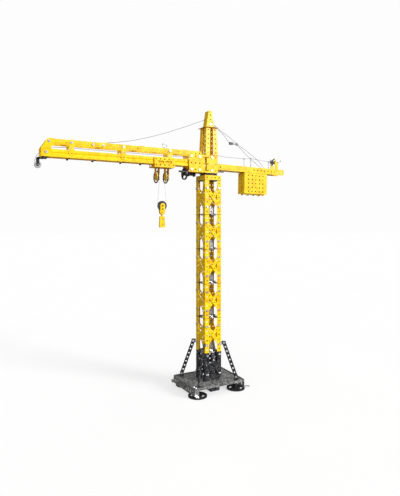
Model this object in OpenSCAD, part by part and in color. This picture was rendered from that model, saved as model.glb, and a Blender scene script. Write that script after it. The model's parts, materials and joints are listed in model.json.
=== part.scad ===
// Toy tower crane built from perforated metal strips, angles and plates.
// Millimetres, Z up. The origin is under the tower axis, on the floor.
// The jib points to -X, the counter-jib to +X.

/* [Construction set] */
// Distance between neighbouring holes
pitch = 12.7; // [10:0.1:15]
// Diameter of the holes
hole_d = 4.2; // [3.5:0.1:5]
// Width of a perforated strip
strip_w = 12; // [9:0.5:12.7]
// Thickness of the sheet metal
sheet = 1; // [0.6:0.1:1.5]
// Diameter of a bolt shank
bolt_d = 3.8; // [3:0.1:4.2]
// Diameter of a bolt head
head_d = 6.4; // [5:0.2:8]
// Height of a bolt head
head_h = 2; // [1:0.1:3]

/* [Base] */
// Base plate size along X
base_x = 155; // [120:1:200]
// Base plate size along Y
base_y = 124; // [100:1:160]
// Height of the top of the base plate
base_top = 25.4; // [20:0.1:40]
// Depth of the end flanges
flange_h = 19; // [10:1:22]
// Diameter of the foot wheels
foot_d = 50; // [30:1:60]
// Height of the black base section above the plate
base_column_h = 76.2; // [50:0.1:120]

/* [Tower] */
// Outside width of the tower
tower_w = 50.8; // [38:0.1:76]
// Height of one tower module
module_h = 94; // [90:1:110]

/* [Upper works] */
// Height of the underside of the jib rails
jib_z = 607; // [580:1:640]
// Height of a jib frame
jib_h = 42; // [35:1:50]
// Distance between the two jib frames
jib_gap = 25.4; // [20:0.1:32]
// Reach of the jib rails from the tower axis
jib_reach = 440; // [380:1:480]
// Reach of the counter-jib from the tower axis
counter_reach = 254; // [220:1:300]
// Height of the top of the mast head
mast_top = 765; // [740:1:800]

/* [Trolley and hook] */
// Distance of the trolley centre from the tower axis
trolley_s = 141; // [90:1:400]
// Diameter of the hanging sheaves
sheave_d = 33; // [25:1:40]
// Height of the hook wheel centre
hook_wheel_z = 500; // [400:1:560]
// Diameter of the hook wheel
hook_wheel_d = 25.4; // [20:0.1:32]

/* [Cords] */
// Diameter of the stay cords
cord_d = 1.2; // [0.8:0.1:2]
// Diameter of the hoist line
line_d = 1; // [0.8:0.1:2]

/* [Hidden] */
$fn = 32;

// Base and tower
modules = 5;
hole_r = hole_d / 2;
half = tower_w / 2;
col_hole = half - pitch / 2;
base_column_z = base_top;
tower_z = base_column_z + base_column_h;
tower_top = tower_z + modules * module_h;

// Turntable, housing and mast
collar_h = pitch;
turntable_z = tower_top + 0.5 + collar_h;
upper_table_z = turntable_z + 2.9;
house_z = upper_table_z + 4;
house_h = 48;
house_half = 19;
house_top = house_z + house_h;
house_slot_x = -22.2;
platform_z = house_top + 77;
head_z = platform_z + sheet;
mast_foot = 19.4;
mast_lean = 3.1;

// Jib
rail_h = 18;
chord_z = jib_z + jib_h - strip_w / 2;
root_x = -70;

// Counter-jib
case_x0 = 110.5;
case_x1 = 190;
case_z = 541.5;
case_h = 60;
case_w = 33;
winch_x = 228;
winch_z = 644;
beam_z = 602.5;
beam_h = 15.5;
deck_top = beam_z + beam_h + sheet;

// Pulleys and trolley winch
sheave_x1 = -155;
sheave_x2 = -128;
sheave_z = 575;
tip_x = -452;
tip_z = 588;
crank_x = -73;
crank_z = 587;

// Feet, braces and struts
foot_x = 4.7 * pitch;
foot_y = 3.6 * pitch;
back_foot_x = 4 * pitch;
brace_w = 10;
strut_top = [31, 31, 9.9 * pitch];
strut_foot = [4.6 * pitch, 3.9 * pitch, base_top + 8];
strut_run = strut_foot - strut_top;
strut_turn = atan2(strut_run[1], strut_run[0]);
strut_drop = atan2(strut_run[2], norm([strut_run[0], strut_run[1]]));
droop = 1.1;

// A-shaped brace plates
lambda_top = base_column_z + 4.5 * pitch;
lambda_foot = base_column_z + 1.5 * pitch;
lambda_run = [col_hole, lambda_foot - lambda_top];
head_h_total = mast_top - head_z;
head_lean = atan2(12.7 - 5, head_h_total);
jib_out = jib_gap / 2 + 1.5;
chord_n = 32;
chord_x0 = -429.3;
post_x = [for (k = [4, 14, 24]) chord_x0 + k * pitch];
tie_x = [-424, -377, -295, -203, -80];

// Cord routes
tie_route = [[-10.8, 0, 740], [-40, 0, 728], [-79, 0, 712], [-151, -1, 685],
    [-228, -3, 662.5], [-295, -4, 650.8]];
stay_front = [[12.5, -8, 728], [28, -9, 714], [45, -10, 699.5], [62, -10, 679.5]];
stay_front_low = [[91.5, -10, 678.5], [128, -10, 658], [160, -9, 638.6], [186, -8, 616.6]];
stay_back = [[12.5, 8, 731], [45, 10, 717], [87, 10, 693.5], [138, 10, 652], [190, 8, 616.6]];
line_route = [[224, -4, 648], [216, -3.2, 642.9], [207.5, -2.4, 637.4], [190, -2.4, 638.9],
    [143, -2.4, 642.6], [119, -2.4, 641.1],
    [60, -1, 641.5], [24, 0, 644], [0, 0, 645], [-24, 0, 643], [-60, 0, 635],
    [-100, 0, 632], [-200, 0, 632], [-300, 0, 632], [-400, 0, 632], [-436, 0, 626],
    [-456, 0, 606], [-458.6, 0, 590]];

// Trolley and hook block
trolley_x = -trolley_s;
trolley_l = 57;
running_z = jib_z + 1.5 + 4.6;
hook_pin_z = hook_wheel_z - 16.4;

// Colours
yellow = [0.96, 0.72, 0.05];
amber = [0.85, 0.5, 0.04];
black = [0.1, 0.1, 0.11];
grey = [0.25, 0.26, 0.27];
silver = [0.78, 0.78, 0.8];

// ---------- shared shapes ----------

// Outline of a perforated strip, first hole at the origin, holes along +X
module strip_outline(n, w = strip_w, step = pitch) {
    difference() {
        union() {
            translate([0, -w / 2]) square([(n - 1) * step, w]);
            circle(d = w);
            translate([(n - 1) * step, 0]) circle(d = w);
        }
        for (i = [0:n - 1]) translate([i * step, 0]) circle(r = hole_r);
    }
}

// Strip outline without holes, from the origin along +X
module strip_solid(length, w) {
    translate([0, -w / 2]) square([length, w]);
    circle(d = w);
    translate([length, 0]) circle(d = w);
}

// Perforated strip lying flat on XY
module strip(n, w = strip_w) {
    linear_extrude(sheet) strip_outline(n, w);
}

// Strip from point a to point b in a plane y = const, its face towards -Y
module strip_xz(a, b, n, w = strip_w) {
    dx = b[0] - a[0];
    dz = b[1] - a[1];
    step = sqrt(dx * dx + dz * dz) / (n - 1);
    translate([a[0], sheet, a[1]])
        rotate([90, -atan2(dz, dx), 0])
            linear_extrude(sheet) strip_outline(n, w, step);
}

// Square-ended perforated plate with nx by nz holes, standing, face to -Y, centred on X
module plate_xz(w, h, nx, nz, step_x = pitch, step_z = pitch, z0 = pitch / 2) {
    translate([0, sheet, 0])
        rotate([90, 0, 0])
            linear_extrude(sheet)
                difference() {
                    translate([-w / 2, 0]) square([w, h]);
                    for (i = [0:nx - 1], k = [0:nz - 1])
                        translate([(i - (nx - 1) / 2) * step_x, z0 + k * step_z])
                            circle(r = hole_r);
                }
}

// Angle girder standing up, outer corner at the origin, legs along +X and +Y
module angle_girder(h, n, z0, step = pitch, leg = pitch) {
    cz = z0;
    translate([0, sheet, 0])
        rotate([90, 0, 0])
            linear_extrude(sheet)
                difference() {
                    square([leg, h]);
                    for (i = [0:n - 1])
                        translate([leg / 2, cz + i * step]) circle(r = hole_r);
                }
    rotate([90, 0, 90])
        linear_extrude(sheet)
            difference() {
                square([leg, h]);
                for (i = [0:n - 1])
                    translate([leg / 2, cz + i * step]) circle(r = hole_r);
            }
}

// Four girders, one in each tower corner
module four_corners(w) {
    for (a = [0:3])
        rotate(a * 90) translate([-w / 2, -w / 2, 0]) children();
}

// Bolt along +Z: slotted head below z = 0, shank up through the joint, nut at the end
module bolt(grip = 3, nut = true) {
    difference() {
        translate([0, 0, -head_h]) cylinder(d = head_d, h = head_h);
        translate([-head_d, -0.4, -head_h - 1]) cube([2 * head_d, 0.8, 1.7]);
    }
    cylinder(d = bolt_d, h = grip + (nut ? 2.7 : 0));
    if (nut) translate([0, 0, grip]) cylinder(d = 6.4, h = 2, $fn = 6);
}

// Bolt with its head towards -Y
module bolt_y(grip = 3, nut = true) {
    rotate([-90, 0, 0]) bolt(grip, nut);
}

// Spoked wheel lying flat, centred on Z
module spoked_wheel(d, t, spokes, rim, hub, arm) {
    difference() {
        cylinder(d = d, h = t);
        translate([0, 0, -1]) cylinder(d = d - 2 * rim, h = t + 2);
    }
    difference() {
        cylinder(d = hub, h = t);
        translate([0, 0, -1]) cylinder(d = bolt_d + 0.3, h = t + 2);
    }
    for (a = [0:spokes - 1])
        rotate(a * 360 / spokes)
            translate([hub / 2 - 0.5, -arm / 2, t * 0.15])
                cube([d / 2 - rim - hub / 2 + 1, arm, t * 0.7]);
}

// One ring of eight points round a cord
function ring(p, side, up, r) =
    [for (k = [0:7]) p + r * cos(k * 45) * side + r * sin(k * 45) * up];

// Catmull-Rom point between b and c
function between(a, b, c, d, t) =
    0.5 * (2 * b + (c - a) * t + (2 * a - 5 * b + 4 * c - d) * t * t
        + (3 * b - a - 3 * c + d) * t * t * t);

// Smooth route through hand-placed points, m steps a span
function route(pts, m) =
    let (n = len(pts))
    concat(
        [for (i = [0:n - 2], j = [0:m - 1])
            between(pts[max(i - 1, 0)], pts[i], pts[i + 1], pts[min(i + 2, n - 1)], j / m)],
        [pts[n - 1]]);

function unit(v) = v / norm(v);
function heading(p, i) = unit(p[min(i + 1, len(p) - 1)] - p[max(i - 1, 0)]);

// Cord tube through a list of points
module cord(pts, d, m = 4) {
    p = route(pts, m);
    n = len(p);
    rings = [for (i = [0:n - 1])
        let (h = heading(p, i),
            ref = abs(h[2]) > 0.9 ? [0, 1, 0] : [0, 0, 1],
            side = unit(cross(h, ref)),
            up = cross(side, h))
        ring(p[i], side, up, d / 2)];
    verts = [for (r = rings) each r];
    walls = [for (i = [0:n - 2], k = [0:7])
        [i * 8 + k, i * 8 + (k + 1) % 8, (i + 1) * 8 + (k + 1) % 8, (i + 1) * 8 + k]];
    start = [[for (k = [7:-1:0]) k]];
    end = [[for (k = [0:7]) (n - 1) * 8 + k]];
    polyhedron(verts, concat(walls, start, end));
}

// ---------- base ----------

module base_plate() {
    color(grey) {
        translate([0, 0, base_top - 1.5])
            linear_extrude(1.5)
                difference() {
                    square([base_x, base_y], center = true);
                    for (i = [-5:5], k = [-4:4])
                        translate([i * pitch, k * pitch]) circle(r = hole_r);
                    for (s = [-1, 1]) {
                        translate([s * foot_x, -foot_y]) circle(d = bolt_d + 0.3);
                        translate([s * back_foot_x, foot_y]) circle(d = bolt_d + 0.3);
                    }
                }
        for (s = [-1, 1])
            translate([s * (base_x / 2 - 0.75) - 0.75, 0, base_top - flange_h])
                rotate([90, 0, 90])
                    linear_extrude(1.5)
                        difference() {
                            translate([-base_y / 2, 0]) square([base_y, flange_h + 2]);
                            for (k = [-4:4])
                                translate([k * pitch - 2, 2.5]) square([4, 11]);
                        }
        for (s = [-1, 1])
            translate([-base_x / 2, s * (base_y / 2 - 0.75) - 0.75, base_top - 5])
                cube([base_x, 1.5, 7]);
    }
}

module centre_support() {
    color(black) {
        translate([-14, -36, 0]) cube([28, 72, 1.5]);
        for (s = [-1, 1])
            translate([s * 13.25 - 0.75, -36, 0]) cube([1.5, 72, base_top - 1.5]);
        for (s = [-1, 1])
            translate([-14, s * 35.25 - 0.75, 0]) cube([28, 1.5, base_top - 1.5]);
    }
}

// Wheel lying flat under a corner with a spacer sleeve up to the plate
module foot(sx, sy, x) {
    color(black)
        translate([sx * x, sy * foot_y, 0]) {
            spoked_wheel(foot_d, 4, 4, 6, 24, 7);
            translate([0, 0, 4])
                difference() {
                    cylinder(d = 9, h = base_top - 1.5 - 4);
                    translate([0, 0, -1]) cylinder(d = bolt_d + 0.3, h = base_top);
                }
        }
}

module feet_front() {
    for (s = [-1, 1]) foot(s, -1, foot_x);
}

module feet_back() {
    for (s = [-1, 1]) foot(s, 1, back_foot_x);
}

// Angle bracket at the near left corner, and a knob bolt on the left flange
module corner_fittings() {
    color(silver) {
        translate([-base_x / 2 + 1, -base_y / 2 - 1, 6]) cube([12, 1, 20]);
        translate([-base_x / 2 + 3, -base_y / 2 - 10, 6]) cube([8, 9.5, 1]);
        translate([-base_x / 2, base_y / 2 - 6, 14])
            rotate([0, -90, 0]) {
                cylinder(d = 9, h = 1);
                cylinder(d = 3.8, h = 4);
                translate([0, 0, 4]) cylinder(d = 9.5, h = 3.5);
            }
        translate([foot_x + 22, -foot_y - 8, 4]) rotate(-35) cube([16, 5, 1]);
        for (p = [[6, 6], [6, 15]])
            translate([p[0] - base_x / 2, p[1] - base_y / 2, base_top])
                cylinder(d1 = 7.5, d2 = 5, h = 3);
    }
}

// ---------- black base section ----------

module base_columns() {
    color(black)
        translate([0, 0, base_column_z])
            four_corners(tower_w)
                angle_girder(base_column_h - 0.5, 6, pitch / 2);
}

// Crossed strips on the four faces, first outside and second inside the legs
module crossed_braces(zc) {
    for (a = [0:3])
        rotate(a * 90) {
            translate([0, -half - sheet, 0])
                strip_xz([-col_hole, zc + 2 * pitch], [col_hole, zc - 2 * pitch], 6, brace_w);
            translate([0, -half + sheet, 0])
                strip_xz([-col_hole, zc - 2 * pitch], [col_hole, zc + 2 * pitch], 6, brace_w);
        }
}

// Bolts of the crossed strips
module brace_bolts(zc) {
    for (a = [0:3])
        rotate(a * 90) {
            for (s = [-1, 1]) {
                translate([s * col_hole, -half - sheet, zc - s * 2 * pitch]) bolt_y(2);
                translate([s * col_hole, -half, zc + s * 2 * pitch]) bolt_y(2);
            }
        }
}

// Two strips in one sheet, spread like the legs of an A
module lambda_plate() {
    rotate([90, 0, 0])
        linear_extrude(sheet)
            difference() {
                for (s = [0, 1])
                    mirror([s, 0])
                        translate([0, lambda_top])
                            rotate(atan2(lambda_run[1], lambda_run[0]))
                                strip_solid(norm(lambda_run), brace_w);
                for (s = [-1, 1], k = [0:3])
                    translate([s * k * col_hole / 3, lambda_top + k * lambda_run[1] / 3])
                        circle(r = hole_r);
            }
}

module base_braces() {
    color(black)
        for (a = [0:3])
            rotate(a * 90) {
                translate([0, -half - 2 * sheet, 0]) translate([0, sheet, 0]) lambda_plate();
                translate([0, -half + sheet, 0])
                    strip_xz([0, base_column_z + pitch / 2],
                        [0, base_column_z + 5.5 * pitch], 6, brace_w);
            }
}

module base_section_bolts() {
    for (a = [0:3])
        rotate(a * 90) {
            translate([0, -half - 2 * sheet, lambda_top]) bolt_y(4);
            for (s = [-1, 1])
                translate([s * col_hole, -half - 2 * sheet, lambda_foot]) bolt_y(3);
            for (s = [-1, 1])
                translate([s * col_hole, -half, base_column_z + 5.5 * pitch]) bolt_y(1);
        }
}

// The four corners, mirrored from the (+X, +Y) one
module mirrored_corners() {
    for (sx = [0, 1], sy = [0, 1])
        mirror([sx, 0, 0]) mirror([0, sy, 0]) children();
}

module corner_struts() {
    color(black)
        mirrored_corners()
            translate(strut_top)
                rotate([0, -strut_drop, strut_turn])
                    rotate([90, 0, 0])
                        linear_extrude(sheet)
                            strip_outline(9, brace_w, norm(strut_run) / 8);
}

module strut_brackets() {
    color(black)
        mirrored_corners() {
            translate(strut_top)
                rotate([0, 0, strut_turn])
                    translate([-6.5, 0.01, -5])
                        difference() {
                            cube([11.5, sheet, 10]);
                            translate([6.5, -1, 5]) rotate([-90, 0, 0]) cylinder(r = hole_r, h = 4);
                        }
            translate([strut_foot[0], strut_foot[1], base_top])
                rotate([0, 0, strut_turn]) {
                    translate([-5, 0.01, 0])
                        difference() {
                            cube([10, sheet, 13]);
                            translate([5, -1, 8]) rotate([-90, 0, 0]) cylinder(r = hole_r, h = 4);
                        }
                    translate([-5, sheet, 0]) cube([10, 7, sheet]);
                }
        }
}

module base_bolts() {
    base_section_bolts();
    for (s = [-1, 1], p = [[foot_x, -foot_y], [back_foot_x, foot_y]])
        translate([s * p[0], p[1], base_top]) rotate([180, 0, 0]) bolt(base_top - 1, false);
    mirrored_corners() {
        translate(strut_top)
            rotate([0, 0, strut_turn]) translate([0, -sheet, 0]) bolt_y(2.02);
        translate(strut_foot)
            rotate([0, 0, strut_turn]) translate([0, -sheet, 0]) bolt_y(2.02);
    }
    translate([-3 * pitch, -3 * pitch, base_top]) rotate([180, 0, 0]) bolt(1.5);
}

// ---------- tower ----------

module tower_columns(i) {
    color(yellow)
        translate([0, 0, tower_z + i * module_h + 0.5])
            four_corners(tower_w)
                angle_girder(module_h - 1, 7, module_h / 2 - 0.5 - 3 * pitch);
}

module tower_braces(i) {
    color(yellow) crossed_braces(tower_z + (i + 0.5) * module_h);
}

module tower_columns_1() { tower_columns(0); }
module tower_columns_2() { tower_columns(1); }
module tower_columns_3() { tower_columns(2); }
module tower_columns_4() { tower_columns(3); }
module tower_columns_5() { tower_columns(4); }
module tower_braces_1() { tower_braces(0); }
module tower_braces_2() { tower_braces(1); }
module tower_braces_3() { tower_braces(2); }
module tower_braces_4() { tower_braces(3); }
module tower_braces_5() { tower_braces(4); }

module joint_plates() {
    color(black)
        for (i = [0:modules])
            translate([0, 0, tower_z + i * module_h - 0.5])
                linear_extrude(sheet)
                    difference() {
                        square(tower_w + 1, center = true);
                        circle(d = 2 * pitch);
                        for (a = [0:3])
                            rotate(a * 90) translate([0, -1.5 * pitch]) circle(r = hole_r);
                    }
}

// Upright bolts with an angle bracket at the middle of each face, at each joint
module tower_bolts() {
    color(silver) {
        base_bolts();
        for (i = [0:modules - 1]) {
            brace_bolts(tower_z + (i + 0.5) * module_h);
            translate([0, 0, tower_z + i * module_h + 0.5 + sheet])
                for (a = [0:3])
                    rotate(a * 90)
                        translate([0, -1.5 * pitch, 0]) rotate([180, 0, 0]) bolt(2);
        }
    }
}

// Plated angle brackets standing on the joint plates, one behind each face
module joint_brackets() {
    color(silver)
        for (i = [0:modules - 1], a = [0:3])
            translate([0, 0, tower_z + i * module_h + 0.5])
                rotate(a * 90)
                    translate([0, -1.5 * pitch, 0])
                        difference() {
                            union() {
                                translate([-5, -4.5, 0]) cube([10, 10, sheet]);
                                translate([-5, 5.5 - sheet, 0]) cube([10, sheet, 24]);
                            }
                            translate([0, 0, -1]) cylinder(r = hole_r, h = 3);
                            for (k = [8, 19])
                                translate([0, 0, k]) rotate([-90, 0, 0])
                                    cylinder(r = hole_r, h = 10);
                        }
}

module collar() {
    color(yellow)
        for (a = [0:3])
            rotate(a * 90)
                translate([0, -half, tower_top + 0.5])
                    plate_xz(a % 2 == 0 ? tower_w : tower_w - 2 * sheet, collar_h, 4, 1);
}

// Fixed half of the turntable with the slewing pin
module lower_turntable() {
    color(black)
        translate([0, 0, turntable_z]) {
            difference() {
                cylinder(d = 48, h = 2.6);
                for (a = [0:7])
                    rotate(a * 45) translate([1.2 * pitch, 0, -1]) cylinder(r = hole_r, h = 5);
            }
            cylinder(d = 6, h = 10);
            translate([0, 0, 7.3]) cylinder(d = 11, h = 2.7);
        }
}

// ---------- slewing upper works ----------

module upper_turntable() {
    color(black)
        translate([0, 0, upper_table_z])
            difference() {
                union() {
                    cylinder(d = 46, h = 3);
                    translate([-19, -19, 3]) cube([38, 38, 1]);
                }
                translate([0, 0, -1]) cylinder(d = 6.15, h = 6);
            }
}

// Side plates of the housing and of the jib root box
module housing_sides() {
    color(yellow)
        both_frames()
            difference() {
                translate([(root_x + house_half) / 2, -house_half, house_z])
                    plate_xz(house_half - root_x, house_h, 7, 3, pitch, 1.4 * pitch, 6.5);
                translate([house_slot_x, -20, house_z + 5]) cube([6, 3, house_h - 10]);
            }
}

module housing_ends() {
    color(yellow) {
        translate([house_half, 0, house_z])
            rotate(90) plate_xz(18, house_h, 1, 3, pitch, 1.4 * pitch, 6.5);
        translate([0, 0, house_top])
            linear_extrude(sheet)
                difference() {
                    square(40, center = true);
                    square(22, center = true);
                }
    }
}

module jib_root_box() {
    color(amber) {
        translate([root_x, -7, house_z])
            cube([sheet, 14, 34]);
        translate([root_x, -18, house_z])
            cube([50, 36, sheet]);
    }
}

module mast_legs() {
    color(yellow)
        translate([0, 0, house_top + sheet + 0.8])
            four_corners(2 * mast_foot)
                rotate(a = mast_lean, v = [-1, 1, 0])
                    angle_girder(platform_z - house_top - sheet - 1, 6, 6);
}

module mast_platform() {
    color(amber)
        translate([0, 0, platform_z])
            linear_extrude(sheet)
                difference() {
                    square(43, center = true);
                    circle(d = 12);
                    for (a = [0:3])
                        rotate(a * 90) translate([18, 18]) circle(r = hole_r);
                }
}

module mast_head() {
    color(yellow)
        translate([0, 0, head_z]) {
            for (s = [0, 1])
                mirror([0, s, 0])
                    translate([0, -9, 0])
                        rotate([90, 0, 0])
                            linear_extrude(sheet)
                                difference() {
                                    polygon([[-12.7, 0], [12.7, 0], [5, head_h_total],
                                        [-5, head_h_total]]);
                                    for (k = [0:2])
                                        translate([0, 9 + k * pitch]) circle(r = hole_r);
                                }
            for (s = [0, 1])
                mirror([s, 0, 0])
                    translate([12.7, 0, 0.2])
                        rotate([0, -head_lean, 0])
                            translate([-sheet, -9.5, 0])
                                difference() {
                                    cube([sheet, 19, head_h_total - 1]);
                                    for (k = [0:1])
                                        translate([-1, 9.5, 12 + k * pitch])
                                            rotate([0, 90, 0]) cylinder(r = hole_r, h = 4);
                                }
        }
}

// ---------- jib ----------

// Both jib frames, mirrored from the front one
module both_frames() {
    for (s = [0, 1]) mirror([0, s, 0]) children();
}

module jib_chords() {
    color(yellow)
        both_frames()
            translate([0, -jib_out, 0])
                strip_xz([chord_x0, chord_z], [chord_x0 + 31 * pitch, chord_z], chord_n);
}

// Rail with a groove along its outer face and a running flange inside
module jib_rails() {
    color(yellow)
        both_frames()
            translate([-jib_reach, 0, jib_z])
                rotate([90, 0, 90])
                    linear_extrude(jib_reach - 24)
                        polygon([[-jib_out, 0], [-7.5, 0], [-7.5, 1.5], [-11.2, 1.5],
                            [-11.2, rail_h], [-jib_out, rail_h], [-jib_out, 11.5],
                            [-jib_out + 1.4, 9], [-jib_out, 6.5]]);
}

module jib_posts() {
    color(yellow) {
        both_frames()
            for (x = post_x)
                translate([x, -jib_out - sheet, 0])
                    strip_xz([0, jib_z + 10], [0, chord_z], 3);
        for (x = tie_x)
            translate([x - 5, -jib_out, jib_z + jib_h]) cube([10, 2 * jib_out, sheet]);
    }
}

module jib_tip_plates() {
    color(yellow)
        both_frames()
            translate([0, -jib_out, jib_z])
                rotate([90, 0, 0])
                    linear_extrude(sheet)
                        difference() {
                            polygon([[-447, 0], [-424, 0], [-424, 24], [-415, 32],
                                [-415, jib_h], [-432, jib_h], [-447, 20]]);
                            translate([chord_x0, jib_h - strip_w / 2]) circle(r = hole_r);
                            translate([-436, 10]) circle(r = hole_r);
                        }
}

// Dark bolt ends under the rails, and the two hangers of the trolley winch
module jib_fittings() {
    color(black) {
        both_frames()
            for (s = [15.6, 19.8, 25.4, 30.2, 34.1])
                translate([-s * pitch, -10.8, jib_z - 3]) cylinder(d = 5.5, h = 3);
        for (x = [-64, -46])
            translate([x, 0, 0])
                difference() {
                    translate([0, -7, crank_z - 6]) cube([sheet, 14, house_z - crank_z + 6]);
                    translate([-1, 0, crank_z])
                        rotate([0, 90, 0]) cylinder(d = 4.15, h = 3);
                }
    }
}

// Fork hanging from a cross bar at the jib tip
module tip_clevis() {
    color(black) {
        translate([tip_x - 1, -14, jib_z - 3.5]) cube([16, 28, 1.5]);
        translate([tip_x + 7, -14, jib_z - 2]) cube([5, 28, 2]);
        for (s = [-1, 1])
            translate([tip_x, s * 4.5 + 0.5, 0])
                rotate([90, 0, 0])
                    linear_extrude(sheet)
                        difference() {
                            union() {
                                translate([-3, tip_z]) square([6, jib_z - 2 - tip_z]);
                                translate([0, tip_z]) circle(d = 6);
                            }
                            translate([0, tip_z]) circle(d = 3.1);
                        }
    }
}

module tip_pulley() {
    color(silver)
        translate([tip_x, 0, tip_z])
            rotate([90, 0, 0])
            {
                rotate_extrude()
                    polygon([[0, -3], [7.5, -3], [5.8, -0.7], [5.8, 0.7], [7.5, 3], [0, 3]]);
                cylinder(d = 3, h = 12, center = true);
            }
}

// ---------- counter-jib ----------

// Everything on the counter-jib sags a little about its root
module drooped() {
    translate([20, 0, jib_z + 3])
        rotate([0, droop, 0])
            translate([-20, 0, -jib_z - 3]) children();
}

module counter_jib() {
    color(yellow)
        drooped() {
            both_frames()
                translate([0, -13.5, beam_z])
                    rotate([90, 0, 0])
                        linear_extrude(sheet)
                            difference() {
                                translate([22, 0]) square([counter_reach - 22, beam_h]);
                                translate([30, beam_h / 2]) circle(r = hole_r);
                                for (i = [0:8])
                                    translate([counter_reach - 8 - i * pitch, beam_h / 2])
                                        circle(r = hole_r);
                            }
            translate([22, -13.5, beam_z + beam_h])
                cube([counter_reach - 22, 27, sheet]);
            translate([22, -13.5, beam_z]) cube([80, 27, sheet]);
        }
}

module counterweight_case() {
    color(yellow)
        drooped()
            translate([(case_x0 + case_x1) / 2, 0, case_z]) {
                for (s = [0, 1])
                    mirror([0, s, 0])
                        translate([0, -case_w / 2, 0])
                            plate_xz(case_x1 - case_x0, case_h, 5, 5, pitch, 0.9 * pitch, 7);
                for (s = [0, 1])
                    mirror([s, 0, 0])
                        translate([-(case_x1 - case_x0) / 2, 0, 0])
                            rotate(90)
                                translate([0, -1, 0])
                                    plate_xz(case_w - 1, case_h, 1, 5, pitch, 0.9 * pitch, 7);
                translate([-(case_x1 - case_x0) / 2, -case_w / 2, 0])
                    cube([case_x1 - case_x0, case_w, sheet]);
                for (x = [-30, -10, 10, 30], y = [-10, 10])
                    translate([x, y, -3.5]) cylinder(d = 7, h = 3.5);
            }
}

module counterweight_ballast() {
    color(black)
        drooped()
            translate([case_x0 + 2, -case_w / 2 + 1.5, case_z + sheet + 0.2])
                cube([case_x1 - case_x0 - 4, case_w - 3, 30]);
}

module line_posts() {
    color(silver)
        drooped()
            for (p = [[119, 26], [143, 28], [208, 24]])
                translate([p[0], 0, deck_top]) {
                    cylinder(d = 2, h = p[1]);
                    translate([0, 0, p[1] - 4]) cylinder(d = 4.5, h = 1);
                    translate([0, 0, p[1] - 1]) cylinder(d = 4.5, h = 1);
                }
}

module winch_frame() {
    color(yellow)
        drooped()
            for (y = [8, -12.5])
                translate([winch_x - 6, y, deck_top])
                    difference() {
                        cube([12, 1, winch_z - deck_top + 6]);
                        translate([6, -1, winch_z - deck_top])
                            rotate([-90, 0, 0]) cylinder(r = hole_r, h = 3);
                    }
}

// Drum with a flange disc behind, knob and crank in front, on one axle
module hoist_drum() {
    color(silver)
        drooped()
            translate([winch_x, 0, winch_z])
                rotate([90, 0, 0]) {
                    translate([0, 0, -10]) cylinder(d = 4, h = 24.5);
                    translate([0, 0, -6.5]) cylinder(d = 21, h = 1.5);
                    translate([0, 0, -5]) cylinder(d = 9, h = 6);
                    translate([0, 0, 1]) cylinder(d = 17, h = 9.5);
                    translate([-1.5, -1.5, 13]) cube([14, 3, 1.5]);
                    translate([11, 0, 14]) cylinder(d = 3.2, h = 8);
                }
}

// Wheel, drum and handle of the trolley winch under the jib root
module trolley_crank() {
    color(black)
        translate([crank_x, 0, crank_z])
            rotate([0, -90, 0]) {
                spoked_wheel(32, 4, 3, 2.6, 9, 3);
                translate([0, 0, -32]) cylinder(d = 4, h = 40);
                translate([0, 0, -26]) cylinder(d = 8, h = 15);
                translate([5, -11, 4]) cylinder(d = 5, h = 20);
                translate([3, -14, 3]) cube([4, 6, 1]);
            }
}

function house_hole_x(i) = (root_x + house_half) / 2 + (i - 3) * pitch;

module upper_bolts() {
    color(silver) {
        for (i = [0, 2, 5], z = [house_z + 6.5, house_z + 6.5 + 2.8 * pitch])
            both_frames() translate([house_hole_x(i), -house_half, z]) bolt_y(1, false);
        both_frames()
            for (k = [0, 4, 8, 10, 14, 24])
                translate([chord_x0 + k * pitch, -jib_out - sheet, chord_z]) bolt_y(2, false);
        both_frames() translate([-436, -jib_out - sheet, jib_z + 10]) bolt_y(1, false);
        translate([house_half, 0, house_z + 6.5]) rotate([0, 90, 0]) cylinder(d = 3, h = 30);
        both_frames() translate([0, -10, head_z + 9]) bolt_y(1, false);
        translate([-11 * pitch, -jib_out + 0.5, jib_z + jib_h + 7.5])
            rotate([90, 0, 0]) rotate_extrude() translate([5.2, 0]) circle(d = 2.4);
        translate([-11 * pitch, -jib_out + 0.5, jib_z + jib_h]) cylinder(d = 2.5, h = 2);
    }
}

// ---------- cords ----------

module front_tie_cord() { color(grey) cord(tie_route, cord_d, 6); }

module back_stay_cords() {
    color(grey) {
        cord(stay_front, cord_d, 6);
        cord(stay_front_low, cord_d, 6);
        cord(stay_back, cord_d, 6);
    }
}

// Block with a small hook in the front back stay
module cord_lock() {
    color(black) {
        translate([62.5, -12.5, 676]) cube([11, 5, 7]);
        translate([73, -10, 679]) rotate([0, 90, 0]) cylinder(d = 2, h = 14);
        translate([87, -10, 679])
            rotate([90, 0, 0])
                rotate_extrude() translate([3.5, 0]) circle(d = 1.6);
    }
}

module hoist_line() { color(grey) cord(line_route, line_d, 5); }

// ---------- trolley ----------

module trolley_frame() {
    color(yellow) {
        both_frames()
            translate([trolley_x, -17.2, jib_z - 7])
                rotate([90, 0, 0])
                    linear_extrude(sheet)
                        difference() {
                            translate([-trolley_l / 2, 0]) square([trolley_l, 25]);
                            for (i = [-2:2], z = [5, 20])
                                translate([i * pitch * 0.96, z]) circle(r = hole_r);
                            for (x = [-20, 2])
                                translate([x, 9.5]) square([18, 6]);
                        }
        translate([trolley_x - trolley_l / 2, -18.2, jib_z - 8])
            cube([trolley_l, 36.4, sheet]);
        both_frames()
            for (x = [-20, 20])
                translate([trolley_x + x, -5.5, jib_z - 7])
                    rotate([90, 0, 0])
                        linear_extrude(sheet)
                            difference() {
                                translate([-5, 0]) square([10, 18]);
                                translate([0, running_z - jib_z + 7]) circle(r = hole_r);
                            }
    }
}

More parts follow.
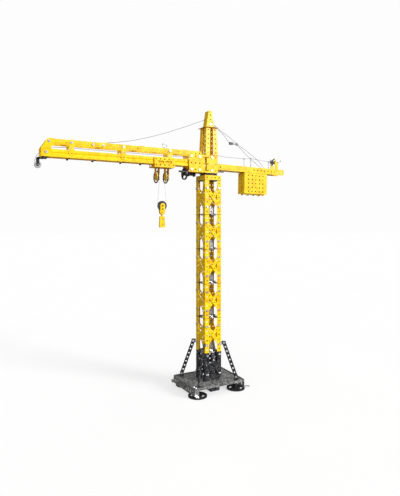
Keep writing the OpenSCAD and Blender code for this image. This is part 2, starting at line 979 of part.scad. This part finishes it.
module trolley_hangers() {
    color(amber)
        for (x = [sheave_x1, sheave_x2], s = [-1, 1])
            translate([x + s * 4.5 - 0.5, -6, sheave_z - 6])
                difference() {
                    cube([1, 12, jib_z - 8 - sheave_z + 6]);
                    translate([-1, 6, 6]) rotate([0, 90, 0]) cylinder(d = 3.75, h = 3);
                }
}

// One axle with its two running wheels
module running_axle(x) {
    color(black)
        translate([trolley_x + x, 0, running_z])
            rotate([90, 0, 0]) {
                cylinder(d = 4, h = 21, center = true);
                for (s = [-1, 1])
                    translate([0, 0, s * 9]) cylinder(d = 9, h = 2.4, center = true);
            }
}

module wheels_outer() { running_axle(-20); }
module wheels_inner() { running_axle(20); }

// Hanging sheave with its axle along X
module sheave(x) {
    color(yellow)
        translate([x, 0, sheave_z])
            rotate([0, 90, 0]) {
                cylinder(d = 3.6, h = 12, center = true);
                cylinder(d = 19, h = 7.4, center = true);
                translate([0, 0, -3.4]) spoked_wheel(sheave_d, 1.6, 4, 2.4, 19.5, 3);
            }
}

module sheave_outer() { sheave(sheave_x1); }
module sheave_inner() { sheave(sheave_x2); }

// Two falls of the hoist line between the sheaves and the hook wheel
module hoist_falls() {
    color(grey) {
        cord([[sheave_x1, -17, sheave_z - 2], [-154.8, -11, 550],
            [-154.5, -4.5, 520], [-154.3, -1, hook_wheel_z]], line_d, 4);
        cord([[sheave_x2, 17, sheave_z - 2], [-128.0, 11, 550],
            [-127.8, 4.5, 520], [-127.7, 1, hook_wheel_z]], line_d, 4);
    }
}

// ---------- hook block ----------

// Side plates with the pin that carries the weight
module hook_plates() {
    color(yellow) {
        for (s = [-1, 1])
            translate([trolley_x, s * 4.5 - 0.5, 0])
                rotate([90, 0, 0])
                    translate([0, 0, -sheet])
                        linear_extrude(sheet)
                            difference() {
                                union() {
                                    translate([-6.8, hook_pin_z])
                                        square([13.6, hook_wheel_z - hook_pin_z]);
                                    translate([0, hook_wheel_z]) circle(d = 13.6);
                                    translate([0, hook_pin_z]) circle(d = 13.6);
                                }
                                translate([0, hook_wheel_z]) circle(d = 3.9);
                                translate([0, hook_wheel_z - 9]) circle(r = hole_r);
                            }
        translate([trolley_x, 0, hook_pin_z])
            rotate([90, 0, 0]) cylinder(d = 5, h = 13, center = true);
    }
}

module hook_wheel() {
    color(black)
        translate([trolley_x, 0, hook_wheel_z])
            rotate([90, 0, 0]) {
                cylinder(d = 3.8, h = 14, center = true);
                rotate_extrude()
                    polygon([[0, -2.5], [10, -2.5], [hook_wheel_d / 2 - 0.4, -3],
                        [hook_wheel_d / 2, -2], [hook_wheel_d / 2 - 1.2, 0],
                        [hook_wheel_d / 2, 2], [hook_wheel_d / 2 - 0.4, 3],
                        [10, 2.5], [0, 2.5]]);
            }
}

// Weight strip under the pin, with a hole for a loop
module hook_weight() {
    color(yellow)
        translate([trolley_x, 3, 0])
            rotate([90, 0, 0])
                linear_extrude(6)
                    difference() {
                        union() {
                            translate([-2, 470]) square([4, hook_pin_z - 2.6 - 470]);
                            translate([-6.7, 456]) square([13.4, 16]);
                            translate([-7.5, 443]) square([15, 14]);
                        }
                        translate([0, 464]) circle(r = hole_r);
                        translate([0, 450]) circle(r = hole_r);
                    }
}

// ---------- assembly ----------

base_plate();
centre_support();
feet_front();
feet_back();
corner_fittings();
base_columns();
base_braces();
corner_struts();
strut_brackets();
tower_columns_1();
tower_columns_2();
tower_columns_3();
tower_columns_4();
tower_columns_5();
tower_braces_1();
tower_braces_2();
tower_braces_3();
tower_braces_4();
tower_braces_5();
joint_plates();
joint_brackets();
tower_bolts();
collar();
lower_turntable();
upper_turntable();
housing_sides();
housing_ends();
jib_root_box();
mast_legs();
mast_platform();
mast_head();
upper_bolts();
jib_chords();
jib_rails();
jib_posts();
jib_tip_plates();
jib_fittings();
tip_clevis();
tip_pulley();
counter_jib();
counterweight_case();
counterweight_ballast();
line_posts();
winch_frame();
hoist_drum();
trolley_crank();
front_tie_cord();
back_stay_cords();
cord_lock();
hoist_line();
trolley_frame();
trolley_hangers();
wheels_outer();
wheels_inner();
sheave_outer();
sheave_inner();
hoist_falls();
hook_plates();
hook_wheel();
hook_weight();
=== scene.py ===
"""Looks for the toy tower crane: camera, light, procedural materials and fine pieces."""

import json
import math

import bmesh
import bpy
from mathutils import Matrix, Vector


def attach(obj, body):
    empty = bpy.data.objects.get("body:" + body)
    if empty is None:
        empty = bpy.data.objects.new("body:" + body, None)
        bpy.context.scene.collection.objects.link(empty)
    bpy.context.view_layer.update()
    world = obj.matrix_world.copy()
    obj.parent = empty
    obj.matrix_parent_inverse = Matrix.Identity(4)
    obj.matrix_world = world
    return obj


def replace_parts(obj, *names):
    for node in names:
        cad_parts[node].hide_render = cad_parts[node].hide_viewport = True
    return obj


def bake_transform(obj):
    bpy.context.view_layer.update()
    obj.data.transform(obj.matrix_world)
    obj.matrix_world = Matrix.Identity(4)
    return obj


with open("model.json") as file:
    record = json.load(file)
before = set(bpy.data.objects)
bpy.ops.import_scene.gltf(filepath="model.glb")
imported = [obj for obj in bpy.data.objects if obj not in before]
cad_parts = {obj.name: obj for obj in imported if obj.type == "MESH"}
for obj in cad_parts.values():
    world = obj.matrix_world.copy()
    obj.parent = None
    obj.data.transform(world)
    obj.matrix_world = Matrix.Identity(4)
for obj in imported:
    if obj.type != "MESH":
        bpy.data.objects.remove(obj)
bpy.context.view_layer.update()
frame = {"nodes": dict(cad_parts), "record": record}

MM = 0.001
STRAND_DEPTH = 0.12   # how far a strand stands out, as a share of the cord's radius
STRAND_LAY = 6.0      # length of cord per radian of twist, in radii

# Hoist drum's axis and the radius of the line wound on it, in millimetres
DRUM_X, DRUM_Z, WOUND_RADIUS = 228.61, 640, 8.95
LINE_RADIUS = 0.45    # of the hoist line


# ---------- camera ----------

def make_camera():
    """Level camera, lens shift for the framing, standing left of the crane's front."""
    data = bpy.data.cameras.new("camera")
    data.sensor_width = 36
    data.sensor_fit = "AUTO"
    data.lens = 32.66
    data.shift_y = -0.0504
    data.clip_start = 0.05
    data.clip_end = 20
    camera = bpy.data.objects.new("camera", data)
    camera.location = (-0.6265, -1.0815, 0.4547)
    camera.rotation_euler = (math.radians(90), 0, math.radians(-29))
    bpy.context.collection.objects.link(camera)
    bpy.context.scene.camera = camera


make_camera()


# ---------- cords ----------

def smooth_route(points, steps=8):
    """Catmull-Rom points through a given route."""
    out = []
    last = len(points) - 1
    for i in range(last):
        a, b = Vector(points[max(i - 1, 0)]), Vector(points[i])
        c, d = Vector(points[i + 1]), Vector(points[min(i + 2, last)])
        for j in range(steps):
            t = j / steps
            out.append(0.5 * (2 * b + (c - a) * t + (2 * a - 5 * b + 4 * c - d) * t ** 2
                              + (3 * b - a - 3 * c + d) * t ** 3))
    out.append(Vector(points[-1]))
    return out


def add_mesh(name, bm, material, body):
    """A smooth mesh object from bm, riding on a body where one is named."""
    mesh = bpy.data.meshes.new(name)
    bm.to_mesh(mesh)
    bm.free()
    for face in mesh.polygons:
        face.use_smooth = True
    obj = bpy.data.objects.new(name, mesh)
    obj.data.materials.append(material)
    bpy.context.collection.objects.link(obj)
    if body:
        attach(obj, body)
    return obj


def tube(bm, points, radius, sides=10, strands=0):
    """Sweep a round or stranded section along points into bm."""
    up = Vector((0, 1, 0.02)).normalized()
    rings = []
    run = 0.0
    for i, p in enumerate(points):
        q = points[min(i + 1, len(points) - 1)] - points[max(i - 1, 0)]
        run += (p - points[i - 1]).length if i else 0.0
        side = q.cross(up).normalized()
        over = side.cross(q).normalized()
        ring = []
        for k in range(sides):
            angle = 2 * math.pi * k / sides
            r = radius
            if strands:
                twist = run / (STRAND_LAY * radius)
                r = radius * (1 + STRAND_DEPTH * math.cos(strands * (angle + twist)))
            spot = p + side * r * math.cos(angle) + over * r * math.sin(angle)
            ring.append(bm.verts.new(spot))
        rings.append(ring)
    for a, b in zip(rings, rings[1:]):
        for k in range(sides):
            bm.faces.new((a[k], a[(k + 1) % sides], b[(k + 1) % sides], b[k]))
    bm.faces.new(list(reversed(rings[0])))
    bm.faces.new(rings[-1])


# ---------- materials ----------

class Nodes:
    """A small helper that builds one procedural material."""

    def __init__(self, name):
        self.material = bpy.data.materials.new(name)
        self.material.use_nodes = True
        self.tree = self.material.node_tree
        self.shader = self.tree.nodes["Principled BSDF"]
        self.coords = self.tree.nodes.new("ShaderNodeTexCoord").outputs["Object"]

    def noise(self, scale, detail=4.0, roughness=0.55, stretch=None):
        node = self.tree.nodes.new("ShaderNodeTexNoise")
        node.inputs["Scale"].default_value = scale
        node.inputs["Detail"].default_value = detail
        node.inputs["Roughness"].default_value = roughness
        vector = self.coords
        if stretch:
            mapping = self.tree.nodes.new("ShaderNodeMapping")
            mapping.inputs["Scale"].default_value = stretch
            self.tree.links.new(vector, mapping.inputs["Vector"])
            vector = mapping.outputs["Vector"]
        self.tree.links.new(vector, node.inputs["Vector"])
        return node.outputs["Fac"]

    def ramp(self, source, stops):
        node = self.tree.nodes.new("ShaderNodeValToRGB")
        elements = node.color_ramp.elements
        while len(elements) < len(stops):
            elements.new(0.5)
        for element, (place, colour) in zip(elements, stops):
            element.position = place
            red_green_blue = colour if isinstance(colour, tuple) else (colour,) * 3
            element.color = (*red_green_blue, 1)
        self.tree.links.new(source, node.inputs["Fac"])
        return node.outputs["Color"]

    def mix(self, mask, first, second):
        node = self.tree.nodes.new("ShaderNodeMix")
        node.data_type = "RGBA"
        self.tree.links.new(mask, node.inputs[0])
        self.tree.links.new(first, node.inputs[6])
        self.tree.links.new(second, node.inputs[7])
        return node.outputs[2]

    def colour(self, source):
        self.tree.links.new(source, self.shader.inputs["Base Color"])

    def roughness(self, source, low, high):
        node = self.tree.nodes.new("ShaderNodeMapRange")
        node.inputs["To Min"].default_value = low
        node.inputs["To Max"].default_value = high
        self.tree.links.new(source, node.inputs["Value"])
        self.tree.links.new(node.outputs["Result"], self.shader.inputs["Roughness"])

    def bump(self, source, strength, distance):
        node = self.tree.nodes.new("ShaderNodeBump")
        node.inputs["Strength"].default_value = strength
        node.inputs["Distance"].default_value = distance
        self.tree.links.new(source, node.inputs["Height"])
        self.tree.links.new(node.outputs["Normal"], self.shader.inputs["Normal"])


def enamel(name, base, deep, pale, chip, gloss=0.32, grain=60):
    """Stoved enamel on sheet steel: cloudy tone, faint orange peel, small worn spots."""
    n = Nodes(name)
    tone = n.ramp(n.noise(grain), [(0.36, deep), (0.5, base), (0.66, pale)])
    worn = n.ramp(n.noise(420, 6, 0.7), [(0.35, tuple(0.6 * c for c in chip)), (0.65, chip)])
    spots = n.ramp(n.noise(160, 8, 0.75), [(0.66, 0.0), (0.71, 1.0)])
    n.colour(n.mix(spots, tone, worn))
    n.roughness(n.noise(90, 5), gloss - 0.08, gloss + 0.14)
    n.bump(n.noise(900, 3), 0.12, 0.0004)
    n.shader.inputs["Specular IOR Level"].default_value = 0.18
    n.shader.inputs["Coat Weight"].default_value = 0.05
    n.shader.inputs["Coat Roughness"].default_value = 0.15
    return n.material


def zinc(name):
    """Bright plated steel with fine turning marks."""
    n = Nodes(name)
    n.colour(n.ramp(n.noise(220, 5), [(0.3, (0.4, 0.4, 0.41)), (0.7, (0.72, 0.72, 0.73))]))
    n.roughness(n.noise(300, 5), 0.18, 0.4)
    n.bump(n.noise(1400, 3, 0.6, (1, 1, 6)), 0.15, 0.0003)
    n.shader.inputs["Metallic"].default_value = 0.9
    return n.material


def plastic(name, base, deep, pale, rough=0.42):
    """Moulded plastic with a fine grain and slight scuffs."""
    n = Nodes(name)
    n.colour(n.ramp(n.noise(60, 5), [(0.3, deep), (0.5, base), (0.75, pale)]))
    n.roughness(n.noise(140, 6), rough - 0.1, rough + 0.15)
    n.bump(n.noise(1600, 2), 0.15, 0.0003)
    return n.material


def cord_fibre(name, deep, pale):
    """Twisted thread."""
    n = Nodes(name)
    n.colour(n.ramp(n.noise(900, 4), [(0.3, deep), (0.7, pale)]))
    n.roughness(n.noise(500), 0.7, 0.95)
    n.bump(n.noise(2600, 3), 0.3, 0.0003)
    return n.material


YELLOW = enamel("yellow enamel", (0.93, 0.6, 0.003), (0.88, 0.47, 0.002),
                (0.96, 0.68, 0.006), (0.4, 0.2, 0.05))
AMBER = enamel("amber enamel", (0.78, 0.4, 0.006), (0.68, 0.3, 0.005),
               (0.84, 0.47, 0.012), (0.35, 0.2, 0.08))
BLACK = enamel("black enamel", (0.028, 0.029, 0.032), (0.012, 0.012, 0.015),
               (0.09, 0.09, 0.1), (0.3, 0.3, 0.31), 0.3, 150)
# Grey enamel: its tone is spread wide into small dark and bright speckles. These are painted
# shade of holes and painted glints, over the plate's own cloudy grey.
GREY_WITH_PAINTED_SPECKLE = enamel("grey enamel with painted speckle", (0.17, 0.174, 0.165), (0.06, 0.063, 0.061),
              (0.36, 0.36, 0.345), (0.4, 0.4, 0.4), 0.3, 170)
STEEL = zinc("zinc plate")
BLACK_PLASTIC = plastic("black plastic", (0.016, 0.016, 0.018), (0.01, 0.01, 0.011),
                        (0.035, 0.035, 0.04))
YELLOW_PLASTIC = plastic("yellow plastic", (0.86, 0.62, 0.13), (0.8, 0.54, 0.08),
                         (0.9, 0.7, 0.22), 0.35)
FIBRE = cord_fibre("cord fibre", (0.1, 0.1, 0.11), (0.3, 0.3, 0.32))
PALE_FIBRE = cord_fibre("pale cord fibre", (0.42, 0.42, 0.42), (0.7, 0.7, 0.7))

FINISHES = {
    "yellow_metal": YELLOW,
    "amber_metal": AMBER,
    "black_metal": BLACK,
    "base_grey": GREY_WITH_PAINTED_SPECKLE,
    "bolt_steel": STEEL,
    "cord": FIBRE,
    "black_plastic": BLACK_PLASTIC,
    "yellow_plastic": YELLOW_PLASTIC,
}


def paint_nodes():
    """Give every CAD node the finish of its material slot."""
    for part in frame["record"]["subparts"]:
        obj = frame["nodes"][part["node"]]
        obj.data.materials.clear()
        obj.data.materials.append(FINISHES[part["material_slot"]])


paint_nodes()


# ---------- fine pieces ----------

def riding_cord(name, routes, body, radius=0.55, fibre=FIBRE):
    """Twisted cord along routes in millimetres, riding on a body where one is named."""
    bm = bmesh.new()
    for points in routes:
        tube(bm, [p * MM for p in smooth_route(points)], radius * MM, strands=3)
    return add_mesh(name, bm, fibre, body)


def ring_piece(name, centre, axis, major, minor, material, body):
    """A round ring about an axis, in millimetres."""
    bm = bmesh.new()
    around, across = 48, 12
    turn = Vector((0, 0, 1)).rotation_difference(Vector(axis)).to_matrix()
    grid = []
    for i in range(around):
        a = 2 * math.pi * i / around
        ring = []
        for k in range(across):
            b = 2 * math.pi * k / across
            r = major + minor * math.cos(b)
            spot = Vector((r * math.cos(a), r * math.sin(a), minor * math.sin(b)))
            ring.append(bm.verts.new((turn @ spot + Vector(centre)) * MM))
        grid.append(ring)
    for i in range(around):
        a, b = grid[i], grid[(i + 1) % around]
        for k in range(across):
            bm.faces.new((a[k], b[k], b[(k + 1) % across], a[(k + 1) % across]))
    return add_mesh(name, bm, material, body)


def make_stays():
    tie = [(-10.8, 0, 740), (-40, 0, 728), (-79, 0, 712), (-151, -1, 685),
           (-228, -3, 662.5), (-295, -4, 650.8)]
    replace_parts(riding_cord("front_tie_twist", [tie], "superstructure"), "front_tie_cord")
    upper = [(12.5, -8, 728), (28, -9, 714), (45, -10, 699.5), (62, -10, 679.5)]
    lower = [(91.5, -10, 678.5), (128, -10, 658), (160, -9, 638.6), (186, -8, 616.6)]
    back = [(12.5, 8, 731), (45, 10, 717), (87, 10, 693.5), (138, 10, 652), (190, 8, 616.6)]
    stays = riding_cord("back_stay_twist", [upper, lower, back], "superstructure")
    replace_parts(stays, "back_stay_cords")


def make_hoist_line():
    """The line from the drum over the posts and along the jib, and its two falls."""
    run = [(224, -4, 648), (216, -3.2, 642.9), (207.5, -2.4, 637.4), (190, -2.4, 638.9),
           (143, -2.4, 642.6), (119, -2.4, 641.1),
           (60, -1, 641.5), (24, 0, 644), (0, 0, 645), (-24, 0, 643), (-60, 0, 635),
           (-100, 0, 632), (-200, 0, 632), (-300, 0, 632), (-400, 0, 632), (-436, 0, 626),
           (-456, 0, 606), (-458.6, 0, 590)]
    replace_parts(riding_cord("hoist_line_twist", [run], "superstructure", LINE_RADIUS),
                "hoist_line")
    outer = [(-155, -17, 573), (-154.8, -11, 550), (-154.5, -4.5, 520), (-154.3, -1, 500)]
    inner = [(-128, 17, 573), (-128, 11, 550), (-127.8, 4.5, 520), (-127.7, 1, 500)]
    falls = riding_cord("hoist_falls_twist", [outer, inner], None, 0.4, PALE_FIBRE)
    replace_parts(falls, "hoist_falls")
    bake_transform(falls)


def make_drum_turns():
    """Line wound on the drum in one layer."""
    bm = bmesh.new()
    turns, steps = 9, 28
    first_y, wound_width = -1.8, 7.6
    points = []
    for i in range(turns * steps + 1):
        a = 2 * math.pi * i / steps
        y = first_y - wound_width * i / (turns * steps)
        points.append(Vector((DRUM_X + WOUND_RADIUS * math.cos(a), y,
                              DRUM_Z + WOUND_RADIUS * math.sin(a))) * MM)
    tube(bm, points, LINE_RADIUS * MM, 8)
    add_mesh("drum_line", bm, FIBRE, "hoist_winch")


def make_tyres():
    """A black ring on the face of each hanging sheave."""
    axle_z, face_offset = 575, 2.6
    tyre_radius, tyre_thickness = 15.3, 1.5
    for name, x in (("sheave_outer", -155), ("sheave_inner", -128)):
        ring_piece(name + "_tyre", (x - face_offset, 0, axle_z), (1, 0, 0),
                   tyre_radius, tyre_thickness, BLACK_PLASTIC, name)


make_stays()
make_hoist_line()
make_drum_turns()
make_tyres()


# ---------- light and floor ----------

def sun_light(name, towards, strength, softness):
    """A broad far light shining from the given direction, with soft shadow edges."""
    data = bpy.data.lights.new(name, "SUN")
    data.energy = strength
    data.angle = math.radians(softness)
    lamp = bpy.data.objects.new(name, data)
    lamp.location = towards
    lamp.rotation_euler = Vector(towards).to_track_quat("Z", "Y").to_euler()
    bpy.context.collection.objects.link(lamp)


def make_light():
    """A key on the front right, a fill on the left, one from above, a white surround."""
    sun_light("key", (3.0, -4.2, 2.0), 3.3, 20)
    sun_light("fill", (-3.2, -4.0, 1.2), 0.9, 60)
    sun_light("top", (0.2, -0.4, 4.0), 1.0, 70)
    world = bpy.data.worlds.new("studio")
    world.use_nodes = True
    tree = world.node_tree
    seen = tree.nodes.new("ShaderNodeBackground")
    seen.inputs["Color"].default_value = (0.985, 0.985, 0.985, 1)
    dim = tree.nodes["Background"]
    dim.inputs["Color"].default_value = (1, 1, 1, 1)
    dim.inputs["Strength"].default_value = 0.24
    path = tree.nodes.new("ShaderNodeLightPath")
    mix = tree.nodes.new("ShaderNodeMixShader")
    tree.links.new(path.outputs["Is Camera Ray"], mix.inputs[0])
    tree.links.new(dim.outputs[0], mix.inputs[1])
    tree.links.new(seen.outputs[0], mix.inputs[2])
    tree.links.new(mix.outputs[0], tree.nodes["World Output"].inputs["Surface"])
    bpy.context.scene.world = world


def make_floor():
    """A pale floor just under the foot wheels, partly lit by itself so that it stays even."""
    bm = bmesh.new()
    bmesh.ops.create_grid(bm, x_segments=1, y_segments=1, size=30)
    bmesh.ops.translate(bm, verts=bm.verts, vec=(0, 0, -0.0003))
    n = Nodes("studio floor")
    n.colour(n.ramp(n.noise(3), [(0.0, (0.34, 0.34, 0.34)), (1.0, (0.36, 0.36, 0.36))]))
    n.shader.inputs["Roughness"].default_value = 1.0
    n.shader.inputs["Specular IOR Level"].default_value = 0.0
    n.shader.inputs["Emission Color"].default_value = (1, 1, 1, 1)
    n.shader.inputs["Emission Strength"].default_value = 0.64
    floor = add_mesh("floor", bm, n.material, None)
    floor.visible_diffuse = False
    floor.visible_glossy = False
    floor.visible_shadow = False


make_light()
make_floor()
bpy.context.scene.view_settings.view_transform = "Standard"
